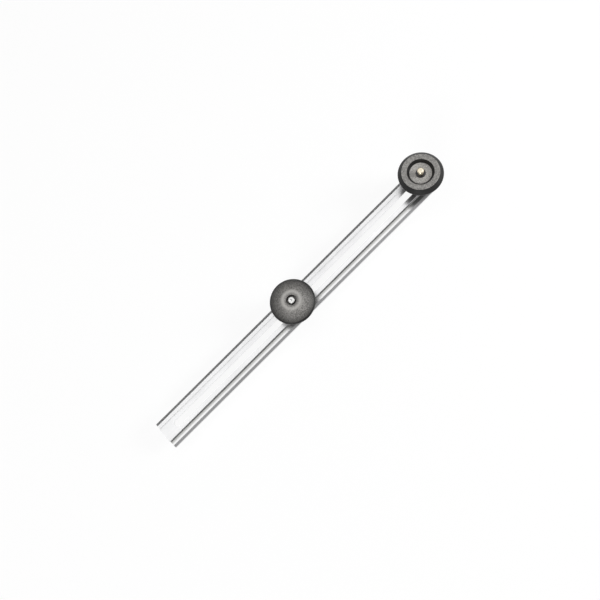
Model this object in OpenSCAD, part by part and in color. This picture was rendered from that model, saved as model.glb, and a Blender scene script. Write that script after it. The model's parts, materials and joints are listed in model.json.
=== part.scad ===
/* [Rail] */
// Length of the slotted rail
rail_len = 338; // [260:1:600]
// Width of the rail over both flanges
rail_w = 28.2; // [24:0.1:36]
// Width of the raised middle of the rail
plateau_w = 14.6; // [13:0.1:18]
// Height of the raised middle above the flanges
plateau_rise = 2.5; // [1.5:0.1:4]
// Thickness of the flanges
flange_t = 3; // [2:0.1:5]
// Thickness of the top wall over the channel
web_t = 1.5; // [1.2:0.1:3]
// Thickness of the channel's side walls
riser_t = 2.3; // [1.2:0.1:2.5]
// Width of the sloped outer edge of a flange
edge_slope_w = 2.4; // [0.6:0.1:3]
// Drop of the sloped outer edge of a flange
edge_slope_h = 0.7; // [0.3:0.1:1.5]
// Radius along the raised middle's upper edges
plateau_round = 0.2; // [0.1:0.1:1]
// How far the sides of the raised middle lean out at their foot
riser_lean = 0.7; // [0:0.1:1.5]
// Distance from the free end of the rail to the slot
slot_margin = 13; // [8:0.5:40]
// Material left between the slot and the cutter axis
slot_bridge = 11; // [9:0.5:20]
// Distance from the cutter axis to the rail's far end
end_margin = 12.2; // [8:0.1:18]
// Corner radius of the rail's far end
end_corner = 2; // [0.5:0.1:4]

/* [Setting] */
// Radius of circle that the rail is set to
radius_set = 160.3; // [60:0.1:200]
// Sideways play of the slide in the channel, each side
slide_gap = 0.15; // [0.1:0.05:0.3]

/* [Threaded studs] */
// Diameter of the clamp stud and of the cutter post's spindle
thread_d = 6; // [5:0.5:6.5]
// Room round a stud in a plain hole or in the slot
stud_gap = 0.2; // [0.1:0.05:0.4]
// Chamfer on the end of a stud
stud_chamfer = 0.6; // [0.2:0.1:1]
// Play left in a threaded or pressed seat
seat_gap = 0.03; // [0.02:0.01:0.05]
// Play left in a bearing
run_gap = 0.05; // [0.03:0.01:0.08]

/* [Both knobs] */
// Diameter of a knob's hub
hub_d = 18; // [17:0.5:22]
// Radius of the curve from the hub to the rim
flare_r = 8; // [4:0.5:9]
// Radius of the rim's lower edge
rim_r = 1.2; // [0.4:0.1:1.6]

/* [Clamp knob] */
// Diameter of the clamp knob
clamp_knob_d = 41; // [36:0.5:46]
// Height of the clamp knob
clamp_knob_h = 21.1; // [18:0.1:28]
// Radius of the dome
dome_r = 36; // [30:0.5:42]
// Radius of the rim's upper edge
rim_top_r = 2.5; // [1:0.1:4]
// Diameter of the crest where the dome turns in to the counterbore
crest_d = 15.6; // [13:0.1:20]
// Drop of the sloped mouth between the crest and the counterbore
mouth_drop = 0.9; // [0.3:0.1:1.5]
// Depth of the counterbore below the crest
eye_depth = 4; // [2.5:0.5:5]
// Room between the stud and the counterbore
eye_gap = 1.5; // [1:0.1:2.5]
// Diameter of the lathe centre in the stud's end
stud_centre_d = 1.8; // [1:0.1:2.4]
// Depth of the stud's end below the crest
stud_recess = 0.2; // [0:0.1:2]
// Diameter of the clamp washer
clamp_washer_d = 18; // [12:0.5:24]
// Thickness of the clamp washer
clamp_washer_t = 1.5; // [0.8:0.1:2.5]
// Wall of the threaded insert in the clamp knob
insert_wall = 2; // [1.2:0.1:2.5]
// Length of the threaded insert
insert_len = 11; // [6:0.5:12.5]
// Depth and width of the insert's two retaining grooves
insert_groove = 0.8; // [0.4:0.1:1]

/* [Hand knob] */
// Diameter of the hand knob
hand_knob_d = 40.5; // [38:0.5:46]
// Height of the hand knob
hand_knob_h = 21; // [19:0.1:28]
// Height of the hand knob's widest line above its lower end
hand_rim_z = 16.1; // [12:0.1:16.5]
// Height of the upright band above the widest line
hand_band_h = 1; // [0.2:0.1:3]
// Diameter of the hand knob's flat top
hand_top_d = 33; // [30:0.5:36]
// Chamfer round the flat top
hand_edge = 0.5; // [0.2:0.1:1]
// Diameter of the dish's mouth
dish_mouth_d = 24.2; // [20:0.1:27]
// Diameter of the dish's floor
dish_floor_d = 20; // [12:0.1:21]
// Depth of the dish
dish_depth = 3.1; // [1.5:0.1:3.5]
// Room between the spindle and the hole in the dish
hand_eye_gap = 1.3; // [0.9:0.1:2]
// Gap between the hand knob and the rail
hand_lift = 0.6; // [0.3:0.1:1.2]
// Length of spindle that stands above the flat top
spindle_proud = 3.1; // [0.5:0.1:6]
// Wall of the bush in the hand knob
bush_wall = 2; // [1.5:0.1:2.4]
// End play of the hand knob between washer and clip
end_play = 0.2; // [0.1:0.05:0.3]
// Wall between the nut's pocket and the hub's outside
pocket_wall = 2; // [1.2:0.1:2.4]

/* [Cutter] */
// Diameter of the cutter wheel
wheel_d = 12; // [10:0.5:16]
// Thickness of the cutter wheel at its hub
wheel_t = 2.2; // [1.6:0.1:3]
// Chamfer on the ends of the wheel's pin
pin_chamfer = 0.3; // [0.1:0.1:0.5]
// Width of the wheel's cutting bevel
bevel_w = 1.6; // [0.8:0.1:2]
// Flat left on the cutting edge
edge_flat = 0.2; // [0.1:0.05:0.4]
// Diameter of the wheel's pin
wheel_pin_d = 3; // [2.5:0.1:3.4]
// Wall of the wheel's bush
wheel_bush_wall = 1; // [0.6:0.1:1.2]
// Gap beside the wheel and above it
wheel_gap = 0.3; // [0.2:0.05:0.5]
// Room between the top of the wheel and the rail's underside
wheel_headroom = 1.5; // [1:0.1:4]
// Length of the clevis along the rail
clevis_len = 10.4; // [9:0.1:14]
// Height of the clevis below the wheel's axis
clevis_drop = 3.6; // [2.8:0.1:4]
// Thickness of the retaining clips
clip_t = 0.7; // [0.5:0.1:0.8]
// Depth of the grooves that hold the clips
groove_depth = 0.5; // [0.3:0.05:0.6]
// How far a clip stands out past its shaft
clip_reach = 0.9; // [0.6:0.1:1.2]
// Share of shaft left beyond a clip
shaft_tail = 0.8; // [0.5:0.1:1.5]

/* [Post fixing] */
// Diameter of the plain washer under the nut
post_washer_d = 12.4; // [11.5:0.1:13.5]
// Thickness of the plain washer
post_washer_t = 1.2; // [0.8:0.1:1.6]
// Width across the flats of the nut
nut_flats = 10; // [8:0.5:10.5]
// Height of the nut
nut_h = 5; // [3:0.1:5.5]
// Chamfer of the nut's corners
nut_chamfer = 0.6; // [0.3:0.1:0.8]
// Slope of the chamfer on the nut's corners, in degrees
nut_chamfer_angle = 30; // [20:1:40]
// Diameter of the thrust washer on the nut
thrust_d = 11; // [10.2:0.1:12.5]
// Thickness of the thrust washer
thrust_t = 0.8; // [0.5:0.1:1.2]

/* [Slide and pivot] */
// Length of the slide block
block_len = 17; // [14:0.5:30]
// Length of a glide shoe
shoe_len = 4; // [3:0.5:8]
// Chamfer on the outer corners of a glide shoe
shoe_chamfer = 1; // [0.3:0.1:1.5]
// Diameter of the pegs on the glide shoes
shoe_peg_d = 2; // [1.4:0.1:2.2]
// Length of the pegs on the glide shoes
shoe_peg_len = 3; // [1.5:0.5:3.5]
// Distance that the slide block stands below the rail
block_drop = 0.5; // [0.3:0.1:1.2]
// Wall of the block's journal round the stud
journal_wall = 1.2; // [1:0.1:1.6]
// Depth of the stud in the journal below the block
stud_depth = 2.4; // [1:0.1:2.8]
// Diameter of the cross pin in the stud
cross_pin_d = 1.5; // [1:0.1:2]
// Diameter of the pivot foot
foot_d = 19; // [17.5:0.5:30]
// Thickness of the pivot foot's flange
foot_t = 3; // [2:0.1:4]
// Radius between the pivot foot's flange and its hub
foot_fillet = 1.2; // [0.5:0.1:2]
// Radius of the pivot foot's upper edge
foot_round = 1; // [0.3:0.1:1.5]
// Wall of the pivot foot round its bush
foot_wall = 1.8; // [1.2:0.1:2.2]
// Wall of the pivot foot's bush
foot_bush_wall = 1; // [0.7:0.1:1.4]
// Gap left between the foot, the slide block and the clip
foot_gap = 0.3; // [0.2:0.05:0.5]
// Thickness of the rubber pad under the foot
pad_t = 1.8; // [1:0.1:2.4]
// Width of the rubber pad
pad_w = 2.6; // [2:0.1:2.9]
// Diameter of the centre needle
needle_d = 2.4; // [1.6:0.1:2.8]
// Length of the needle's point
point_len = 3.2; // [2:0.1:4]
// Length of the needle held in the journal
needle_hold = 6; // [4:0.1:6.5]
// Distance of the needle's tip above the pad's face
needle_shy = 0.3; // [0.1:0.1:0.8]

/* [Hidden] */
$fn = 96;
overcut = 1;
// Width of a clip's mouth against the groove that it snaps into
clip_mouth = 0.8;
clamp_knob_r = clamp_knob_d / 2;
hand_knob_r = hand_knob_d / 2;
thread_r = thread_d / 2;
hub_r = hub_d / 2;

// Heights above the work
wheel_z = wheel_d / 2;
rail_z = wheel_d + wheel_headroom;
flange_z = rail_z + flange_t;
plateau_z = flange_z + plateau_rise;
web_z = plateau_z - web_t;
channel_w = plateau_w - 2 * riser_t;

// Places along the rail, from the middle of the whole tool
tool_len = rail_len - end_margin + max(end_margin, hand_knob_r);
rail_x = -tool_len / 2;
cutter_x = rail_x + rail_len - end_margin;
pivot_x = cutter_x - radius_set;
stud_hole_r = thread_r + stud_gap;

// Clamp stack on the slide
clamp_seat_z = plateau_z + clamp_washer_t;
clamp_crest_z = clamp_seat_z + clamp_knob_h;
clamp_stud_z = clamp_crest_z - stud_recess;
insert_r = thread_r + insert_wall;
crest_r = crest_d / 2;
centre_tip_r = stud_centre_d / 8;
centre_depth = stud_centre_d / 2 - centre_tip_r;

// The dome runs into the rim's upper edge without a break: both have one tangent there
dome_z = clamp_knob_h - sqrt(dome_r * dome_r - crest_r * crest_r);
rim_top_x = clamp_knob_r - rim_top_r;
rim_share = rim_top_x / (dome_r - rim_top_r);
rim_rise = sqrt(1 - rim_share * rim_share);
clamp_rim_z = dome_z + (dome_r - rim_top_r) * rim_rise;

// Hand knob stack on the cutter post
hand_z = plateau_z + hand_lift;
hand_top_z = hand_z + hand_knob_h;
dish_z = hand_top_z - dish_depth;
spindle_z = hand_top_z + spindle_proud;
nut_z = plateau_z + post_washer_t;
thrust_z = nut_z + nut_h;
bush_z = thrust_z + thrust_t + end_play / 2;
hand_clip_gap = end_play / 2;
hand_clip_z = dish_z - clip_t - hand_clip_gap;
bush_top_z = hand_clip_z - hand_clip_gap;
bush_r = thread_r + bush_wall;
hand_eye_r = thread_r + hand_eye_gap;
pocket_r = hub_r - pocket_wall;
pocket_top_z = bush_z;

// Slide block and pivot foot
block_w = channel_w - 2 * slide_gap;
block_top_z = web_z - slide_gap;
block_z = rail_z - block_drop;
journal_r = thread_r + journal_wall;
stud_z = block_z - stud_depth;
foot_top_z = block_z - foot_gap;
foot_bush_r = journal_r + run_gap + foot_bush_wall;
foot_hub_r = foot_bush_r + foot_wall;
foot_clip_z = pad_t + shaft_tail + foot_gap;
foot_seat_z = foot_clip_z + clip_t + foot_gap;
journal_z = foot_clip_z - shaft_tail;
foot_clip_r = journal_r + clip_reach;
foot_recess_r = foot_clip_r + foot_gap;
needle_r = needle_d / 2;

// A plain ring standing on z
module ring(z, h, r_out, r_in) {
    translate([0, 0, z]) difference() {
        cylinder(r = r_out, h = h);
        translate([0, 0, -overcut]) cylinder(r = r_in, h = h + 2 * overcut);
    }
}

// An open clip that snaps into a groove round a shaft along z
module snap_clip(z, shaft_r) {
    groove_r = shaft_r - groove_depth + seat_gap;
    difference() {
        ring(z, clip_t, shaft_r + clip_reach, groove_r);
        translate([0, -groove_r * clip_mouth, z - overcut])
            cube([2 * shaft_r + clip_reach, 2 * groove_r * clip_mouth, clip_t + 2 * overcut]);
    }
}

// The groove that a clip snaps into
module clip_groove(z, shaft_r) {
    ring(z - seat_gap, clip_t + 2 * seat_gap, shaft_r + overcut, shaft_r - groove_depth);
}

// A stud with a chamfered upper end
module stud_rod(z, top_z, r) {
    translate([0, 0, z]) cylinder(r = r, h = top_z - z - stud_chamfer);
    translate([0, 0, top_z - stud_chamfer])
        cylinder(r1 = r, r2 = r - stud_chamfer, h = stud_chamfer);
}

// One half of the hat section: flange with its sloped edge, and the raised middle with its leaning side
module rail_half_section() {
    top_y = plateau_w / 2 - plateau_round;
    rail_h = flange_t + plateau_rise;
    polygon([[0, 0], [rail_w / 2, 0], [rail_w / 2, flange_t - edge_slope_h],
             [rail_w / 2 - edge_slope_w, flange_t], [0, flange_t]]);
    square([top_y, rail_h]);
    polygon([[0, 0], [plateau_w / 2 + riser_lean, 0], [plateau_w / 2 + riser_lean, flange_t],
             [plateau_w / 2, rail_h - plateau_round], [0, rail_h - plateau_round]]);
    translate([top_y, rail_h - plateau_round]) circle(plateau_round);
}

module rail_section() {
    difference() {
        union() {
            rail_half_section();
            mirror([1, 0]) rail_half_section();
        }
        translate([-channel_w / 2, -overcut]) square([channel_w, overcut + web_z - rail_z]);
    }
}

module rail() {
    slot_start = rail_x + slot_margin + stud_hole_r;
    slot_end = cutter_x - slot_bridge - stud_hole_r;
    corner_x = rail_x + rail_len - end_corner;
    corner_y = rail_w / 2 - end_corner;
    color("gainsboro") difference() {
        translate([rail_x, 0, rail_z]) rotate([90, 0, 90]) linear_extrude(rail_len) rail_section();
        for (x = [slot_start, slot_end, cutter_x])
            translate([x, 0, rail_z - overcut]) cylinder(r = stud_hole_r, h = plateau_z);
        translate([slot_start, -stud_hole_r, rail_z - overcut])
            cube([slot_end - slot_start, 2 * stud_hole_r, plateau_z]);
        for (side = [-1, 1]) difference() {
            translate([corner_x, side > 0 ? corner_y : -rail_w / 2 - overcut, rail_z - overcut])
                cube([end_corner + overcut, end_corner + overcut, plateau_z]);
            translate([corner_x, side * corner_y, rail_z - 2 * overcut])
                cylinder(r = end_corner, h = plateau_z + 2 * overcut);
        }
    }
}

module cutter_post() {
    slot_w = wheel_t + 2 * wheel_gap;
    clevis_w = channel_w - 2 * slide_gap;
    color("goldenrod") translate([cutter_x, 0, 0]) difference() {
        union() {
            intersection() {
                translate([-clevis_len / 2, -clevis_w / 2, wheel_z - clevis_drop])
                    cube([clevis_len, clevis_w, web_z - wheel_z + clevis_drop]);
                union() {
                    translate([-clevis_len, 0, wheel_z]) rotate([0, 90, 0])
                        cylinder(r = clevis_w / 2, h = 2 * clevis_len);
                    translate([-clevis_len, -clevis_w, wheel_z])
                        cube([2 * clevis_len, 2 * clevis_w, web_z]);
                }
            }
            stud_rod(web_z - overcut, spindle_z, thread_r);
        }
        translate([-slot_w / 2, -clevis_w, -overcut])
            cube([slot_w, 2 * clevis_w, wheel_d + wheel_gap + overcut]);
        translate([-clevis_len, 0, wheel_z]) rotate([0, 90, 0])
            cylinder(r = wheel_pin_d / 2 + seat_gap, h = 2 * clevis_len);
        clip_groove(hand_clip_z, thread_r);
    }
}

module post_washer() {
    color("silver") translate([cutter_x, 0, 0])
        ring(plateau_z, post_washer_t, post_washer_d / 2, thread_r + stud_gap);
}

module post_nut() {
    corner_r = nut_flats / 2 / cos(30);
    face_r = corner_r - nut_chamfer;
    clear_r = corner_r + overcut;
    cone_h = (clear_r - face_r) * tan(nut_chamfer_angle);
    color("silver") translate([cutter_x, 0, nut_z]) difference() {
        intersection() {
            cylinder(r = corner_r, h = nut_h, $fn = 6);
            rotate_extrude() polygon([[0, 0], [face_r, 0], [clear_r, cone_h], [clear_r, nut_h - cone_h],
                                      [face_r, nut_h], [0, nut_h]]);
        }
        translate([0, 0, -overcut]) cylinder(r = thread_r + seat_gap, h = nut_h + 2 * overcut);
    }
}

module thrust_washer() {
    color("silver") translate([cutter_x, 0, 0])
        ring(thrust_z, thrust_t, thrust_d / 2, thread_r + stud_gap);
}

module retaining_clip() {
    color("dimgray") translate([cutter_x, 0, 0]) snap_clip(hand_clip_z, thread_r);
}

// Places of the two clips on the wheel's pin, out from the clevis
pin_clip_x = clevis_len / 2 + seat_gap;
wheel_pin_half = pin_clip_x + clip_t + shaft_tail;

module wheel_pin() {
    pin_r = wheel_pin_d / 2;
    body_half = wheel_pin_half - pin_chamfer;
    color("silver") translate([cutter_x, 0, wheel_z]) rotate([0, 90, 0]) difference() {
        rotate_extrude() polygon([[0, -wheel_pin_half], [pin_r - pin_chamfer, -wheel_pin_half],
                                  [pin_r, -body_half], [pin_r, body_half],
                                  [pin_r - pin_chamfer, wheel_pin_half], [0, wheel_pin_half]]);
        for (side = [0, 1]) mirror([0, 0, side]) clip_groove(pin_clip_x, pin_r);
    }
}

module wheel_pin_clips() {
    color("dimgray") translate([cutter_x, 0, wheel_z]) rotate([0, 90, 0])
        for (side = [0, 1]) mirror([0, 0, side]) snap_clip(pin_clip_x, wheel_pin_d / 2);
}

module cutter_wheel() {
    wheel_bore_r = wheel_pin_d / 2 + run_gap + wheel_bush_wall + seat_gap;
    bevel_r = wheel_z - bevel_w;
    color("lightsteelblue") translate([cutter_x, 0, wheel_z]) rotate([0, 90, 0]) rotate_extrude()
        polygon([[wheel_bore_r, -wheel_t / 2], [bevel_r, -wheel_t / 2], [wheel_z, -edge_flat / 2],
                 [wheel_z, edge_flat / 2], [bevel_r, wheel_t / 2], [wheel_bore_r, wheel_t / 2]]);
}

module wheel_bush() {
    bush_in = wheel_pin_d / 2 + run_gap;
    color("peru") translate([cutter_x, 0, wheel_z]) rotate([0, 90, 0])
        ring(-wheel_t / 2, wheel_t, bush_in + wheel_bush_wall, bush_in);
}

// Hub, flared neck and rounded lower rim that both knobs share, up to the widest line
module knob_lower_profile(knob_r, rim_z) {
    under_z = rim_z - rim_r;
    square([hub_r, rim_z]);
    difference() {
        translate([0, under_z - flare_r]) square([hub_r + flare_r, flare_r]);
        translate([hub_r + flare_r, under_z - flare_r]) circle(flare_r);
    }
    translate([0, under_z]) square([knob_r - rim_r, rim_r]);
    intersection() {
        translate([knob_r - rim_r, rim_z]) circle(rim_r);
        translate([knob_r - rim_r, under_z]) square(rim_r);
    }
}

module hand_knob_profile() {
    band_z = hand_rim_z + hand_band_h;
    top_r = hand_top_d / 2;
    edge_z = hand_knob_h - hand_edge;
    dish_floor = hand_knob_h - dish_depth;
    bush_top = bush_top_z - hand_z;
    pocket_top = pocket_top_z - hand_z;
    difference() {
        union() {
            knob_lower_profile(hand_knob_r, hand_rim_z);
            polygon([[0, hand_rim_z], [hand_knob_r, hand_rim_z], [hand_knob_r, band_z],
                     [top_r + hand_edge, edge_z], [top_r, hand_knob_h], [0, hand_knob_h]]);
        }
        polygon([[0, dish_floor], [dish_floor_d / 2, dish_floor], [dish_mouth_d / 2, hand_knob_h],
                 [dish_mouth_d / 2, hand_knob_h + overcut], [0, hand_knob_h + overcut]]);
        square([hand_eye_r, hand_knob_h]);
        square([bush_r + seat_gap, bush_top]);
        translate([0, -overcut]) square([pocket_r, pocket_top + overcut]);
    }
}

module hand_knob() {
    color([0.16, 0.16, 0.16]) translate([cutter_x, 0, hand_z]) rotate_extrude() hand_knob_profile();
}

module hand_knob_bush() {
    color("ivory") translate([cutter_x, 0, 0])
        ring(bush_z, bush_top_z - bush_z, bush_r, thread_r + run_gap);
}

// Dome with a rounded rim, turned in at the crest to the counterbore's sloped mouth
module clamp_knob_profile() {
    insert_seat_r = insert_r + seat_gap;
    eye_r = thread_r + eye_gap;
    meet_x = dome_r * rim_share;
    meet_z = dome_z + dome_r * rim_rise;
    difference() {
        union() {
            knob_lower_profile(clamp_knob_r, clamp_rim_z);
            intersection() {
                translate([0, dome_z]) circle(dome_r);
                translate([0, clamp_rim_z]) square([meet_x, clamp_knob_r]);
            }
            intersection() {
                translate([rim_top_x, clamp_rim_z]) circle(rim_top_r);
                translate([meet_x, clamp_rim_z]) square([clamp_knob_r - meet_x, meet_z - clamp_rim_z]);
            }
        }
        polygon([[0, clamp_knob_h - mouth_drop], [eye_r, clamp_knob_h - mouth_drop],
                 [crest_r, clamp_knob_h], [crest_r, clamp_knob_h + overcut], [0, clamp_knob_h + overcut]]);
        square([stud_hole_r, clamp_knob_h]);
        square([insert_seat_r, insert_len]);
        translate([0, clamp_knob_h - eye_depth]) square([eye_r, eye_depth]);
    }
}

module clamp_knob() {
    color([0.18, 0.18, 0.18]) translate([pivot_x, 0, clamp_seat_z]) rotate_extrude() clamp_knob_profile();
}

module clamp_knob_insert() {
    color("goldenrod") translate([pivot_x, 0, clamp_seat_z]) difference() {
        ring(0, insert_len, insert_r, thread_r + run_gap);
        for (z = [insert_len / 4, insert_len * 3 / 4])
            ring(z - insert_groove / 2, insert_groove, insert_r + overcut, insert_r - insert_groove);
    }
}

module clamp_washer() {
    color("silver") translate([pivot_x, 0, 0])
        ring(plateau_z, clamp_washer_t, clamp_washer_d / 2, stud_hole_r);
}

module clamp_stud() {
    color("whitesmoke") translate([pivot_x, 0, 0]) difference() {
        stud_rod(stud_z, clamp_stud_z, thread_r);
        cross_pin_hole();
        translate([0, 0, clamp_stud_z - centre_depth])
            cylinder(r1 = centre_tip_r, r2 = centre_tip_r + centre_depth + overcut, h = centre_depth + overcut);
    }
}

// Height of the cross pin, at the middle of the slide block
cross_pin_z = (block_z + block_top_z) / 2;

module cross_pin_hole() {
    translate([0, -channel_w, cross_pin_z]) rotate([-90, 0, 0])
        cylinder(r = cross_pin_d / 2 + seat_gap, h = 2 * channel_w);
}

module stud_cross_pin() {
    color("silver") translate([pivot_x, -block_w / 2, cross_pin_z]) rotate([-90, 0, 0])
        cylinder(r = cross_pin_d / 2, h = block_w);
}

module slide_block() {
    color("silver") translate([pivot_x, 0, 0]) difference() {
        union() {
            translate([-block_len / 2, -block_w / 2, block_z])
                cube([block_len, block_w, block_top_z - block_z]);
            translate([0, 0, journal_z]) cylinder(r = journal_r, h = block_z - journal_z + overcut);
        }
        translate([0, 0, stud_z - seat_gap]) cylinder(r = thread_r + seat_gap, h = block_top_z);
        translate([0, 0, -overcut]) cylinder(r = needle_r + seat_gap, h = journal_z + needle_hold + overcut);
        cross_pin_hole();
        clip_groove(foot_clip_z, journal_r);
        for (side = [-1, 1]) translate([side * block_len / 2, 0, cross_pin_z])
            rotate([0, side * -90, 0]) translate([0, 0, -overcut])
                cylinder(r = shoe_peg_d / 2 + seat_gap, h = shoe_peg_len + 2 * seat_gap + overcut);
    }
}

module glide_shoes() {
    color("ivory") translate([pivot_x, 0, 0]) for (side = [0, 1]) mirror([side, 0, 0]) {
        translate([block_len / 2, 0, block_z]) linear_extrude(block_top_z - block_z)
            polygon([[0, -block_w / 2], [shoe_len - shoe_chamfer, -block_w / 2],
                     [shoe_len, -block_w / 2 + shoe_chamfer], [shoe_len, block_w / 2 - shoe_chamfer],
                     [shoe_len - shoe_chamfer, block_w / 2], [0, block_w / 2]]);
        translate([block_len / 2 - shoe_peg_len, 0, cross_pin_z]) rotate([0, 90, 0])
            cylinder(r = shoe_peg_d / 2, h = shoe_peg_len + overcut);
    }
}

module centre_needle() {
    top_z = journal_z + needle_hold - seat_gap;
    color("whitesmoke") translate([pivot_x, 0, 0]) rotate_extrude()
        polygon([[0, needle_shy], [needle_r, needle_shy + point_len], [needle_r, top_z], [0, top_z]]);
}

module foot_clip() {
    color("dimgray") translate([pivot_x, 0, 0]) snap_clip(foot_clip_z, journal_r);
}

module pivot_foot() {
    flange_top_z = pad_t + foot_t;
    color([0.2, 0.2, 0.2]) translate([pivot_x, 0, 0]) rotate_extrude() difference() {
        union() {
            translate([0, pad_t]) square([foot_d / 2, foot_t - foot_round]);
            translate([0, pad_t]) square([foot_d / 2 - foot_round, foot_t]);
            translate([foot_d / 2 - foot_round, flange_top_z - foot_round]) circle(foot_round);
            translate([0, pad_t]) square([foot_hub_r, foot_top_z - pad_t]);
            translate([foot_hub_r, flange_top_z]) difference() {
                square(foot_fillet);
                translate([foot_fillet, foot_fillet]) circle(foot_fillet);
            }
        }
        square([foot_bush_r + seat_gap, foot_top_z + overcut]);
        square([foot_recess_r, foot_seat_z]);
    }
}

module foot_bush() {
    color("peru") translate([pivot_x, 0, 0])
        ring(foot_seat_z, foot_top_z - foot_seat_z, foot_bush_r, journal_r + run_gap);
}

module foot_pad() {
    color("black") translate([pivot_x, 0, 0]) ring(0, pad_t, foot_d / 2, foot_d / 2 - pad_w);
}

rail();
cutter_post();
post_washer();
post_nut();
thrust_washer();
retaining_clip();
wheel_pin();
wheel_pin_clips();
cutter_wheel();
wheel_bush();
hand_knob();
hand_knob_bush();
slide_block();
glide_shoes();
clamp_stud();
stud_cross_pin();
centre_needle();
foot_clip();
clamp_washer();
clamp_knob();
clamp_knob_insert();
pivot_foot();
foot_bush();
foot_pad();
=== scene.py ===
# %% [markdown]
# # A circle cutter in Blender
# This tool turns about a foot under the domed knob, while a small wheel under the dished knob scores the
# circle. The imported solids give every size and place, so the first cell loads them.

# %% Load the frame
import json
import math

import bmesh
import bpy
from mathutils import Matrix, Vector


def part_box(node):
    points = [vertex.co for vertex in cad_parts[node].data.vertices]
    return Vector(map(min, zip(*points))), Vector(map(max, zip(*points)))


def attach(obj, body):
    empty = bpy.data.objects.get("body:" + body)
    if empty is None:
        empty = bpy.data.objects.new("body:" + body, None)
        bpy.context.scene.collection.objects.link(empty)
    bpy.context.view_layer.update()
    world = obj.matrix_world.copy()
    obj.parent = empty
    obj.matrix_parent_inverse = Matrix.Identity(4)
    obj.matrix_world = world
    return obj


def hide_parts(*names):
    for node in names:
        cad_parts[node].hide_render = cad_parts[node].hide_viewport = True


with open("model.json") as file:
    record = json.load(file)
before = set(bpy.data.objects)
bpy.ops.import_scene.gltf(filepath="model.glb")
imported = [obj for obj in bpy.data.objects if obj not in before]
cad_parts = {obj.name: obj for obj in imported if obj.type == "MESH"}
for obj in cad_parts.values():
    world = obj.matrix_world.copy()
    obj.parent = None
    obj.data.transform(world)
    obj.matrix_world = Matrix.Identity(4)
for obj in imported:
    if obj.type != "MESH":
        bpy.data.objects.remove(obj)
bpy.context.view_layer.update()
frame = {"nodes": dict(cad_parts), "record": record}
MM = 0.001
rail_low, rail_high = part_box("rail")
post_low, post_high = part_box("cutter_post")
stud_low, stud_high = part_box("clamp_stud")
rail_top = rail_high.z
cutter_x = (post_low.x + post_high.x) / 2
pivot_x = (stud_low.x + stud_high.x) / 2
print(f"rail top {rail_top / MM:.2f} mm, pivot {pivot_x / MM:.2f} mm, cutter {cutter_x / MM:.2f} mm")

# %% [markdown]
# ## Camera
# The photograph looks almost straight down and is turned so that the rail runs corner to corner. A camera
# can be placed by eye, but here its place comes from a fit to the circles of both knobs, so it is written
# as an eye, a point to look at and a roll about the line of sight.

# %% Place the camera
RAIL_LEVEL = Vector((0, 0, rail_top))
EYE = Vector((-21.3, -170.4, 583.5)) * MM + RAIL_LEVEL
AIM = Vector((-1.4, 0.85, 0.0)) * MM + RAIL_LEVEL
ROLL = math.radians(-38.46)
LENS_MM, SENSOR_MM, NEAR_CLIP = 40.43, 36.0, 0.01


def add_object(name, data):
    """Puts an object with its data into the scene."""
    made = bpy.data.objects.new(name, data)
    bpy.context.scene.collection.objects.link(made)
    return made


def facing(place, target):
    """The place and turn of a camera or lamp that stands at place and looks at target."""
    look = (target - place).to_track_quat("-Z", "Y")
    return Matrix.Translation(place) @ look.to_matrix().to_4x4()


camera_data = bpy.data.cameras.new("camera")
camera_data.lens = LENS_MM
camera_data.sensor_width = SENSOR_MM
camera_data.clip_start = NEAR_CLIP
camera = add_object("camera", camera_data)
camera.matrix_world = facing(EYE, AIM) @ Matrix.Rotation(ROLL, 4, "Z")
bpy.context.scene.camera = camera
bpy.context.scene.view_settings.view_transform = "Standard"
print("camera stands", round((AIM - EYE).length, 3), "m from the rail")

# %% [markdown]
# ## Light
# Bright metal shows its surroundings more than its own colour. The photograph has one bright panel above
# the tool and a plain grey room elsewhere: flat faces mirror the panel and turn pale, and edges that lean
# away mirror the room and turn grey. Black plastic needs light from the sides too, so two small lamps stand
# far out and low, where no face of the rail mirrors them to the camera, and a faint card behind the tool
# lifts its far side. Each lamp is written as its place, width, depth and radiance, where 1 is the
# brightness of white paper.

# %% Hang the panel, the card and the lamps
LAMPS = {
    "back_panel": ((0.03, 0.28, 1.165), 2.4, 0.64, 1.04),
    "back_card": ((0.0, 1.33, 0.43), 2.4, 0.7, 0.2),
    "right_lamp": ((1.30, -0.90, 0.90), 0.6, 0.6, 13.0),
    "left_lamp": ((-1.30, -0.90, 0.90), 0.6, 0.6, 6.0),
}

for name, (place, width, depth, radiance) in LAMPS.items():
    lamp = bpy.data.lights.new(name, "AREA")
    lamp.shape = "RECTANGLE"
    lamp.size, lamp.size_y = width, depth
    lamp.energy = radiance * math.pi * width * depth
    add_object(name, lamp).matrix_world = facing(Vector(place), RAIL_LEVEL)
print("lamps:", list(LAMPS))

# %% [markdown]
# ## Node trees
# The room, the floor, every finish and two of the shapes are made by node trees. Nodes can be added and
# linked one at a time, but then the lines hide the idea, so one helper adds a node and feeds its inputs: a
# socket is linked, and anything else is set as a plain value.

# %% Add and feed nodes
def feed(tree, socket, value):
    """Links an input to another node's socket, or sets its plain value."""
    if isinstance(value, bpy.types.NodeSocket):
        tree.links.new(value, socket)
    else:
        socket.default_value = value


def node(tree, kind, *ordered, settings=None, **named):
    """Adds a node and feeds its inputs, in their order or by name with _ for a space."""
    made = tree.nodes.new(kind)
    for key, value in (settings or {}).items():
        setattr(made, key, value)
    for socket, value in zip(made.inputs, ordered):
        feed(tree, socket, value)
    for key, value in named.items():
        feed(tree, made.inputs[key.replace("_", " ")], value)
    return made


def math_node(tree, operation, *values, clamp=False):
    """The result of a Math node."""
    settings = {"operation": operation, "use_clamp": clamp}
    return node(tree, "ShaderNodeMath", *values, settings=settings).outputs[0]


def parts_of(tree, vector):
    """The X, Y and Z sockets of a vector socket."""
    return node(tree, "ShaderNodeSeparateXYZ", Vector=vector).outputs


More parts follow.
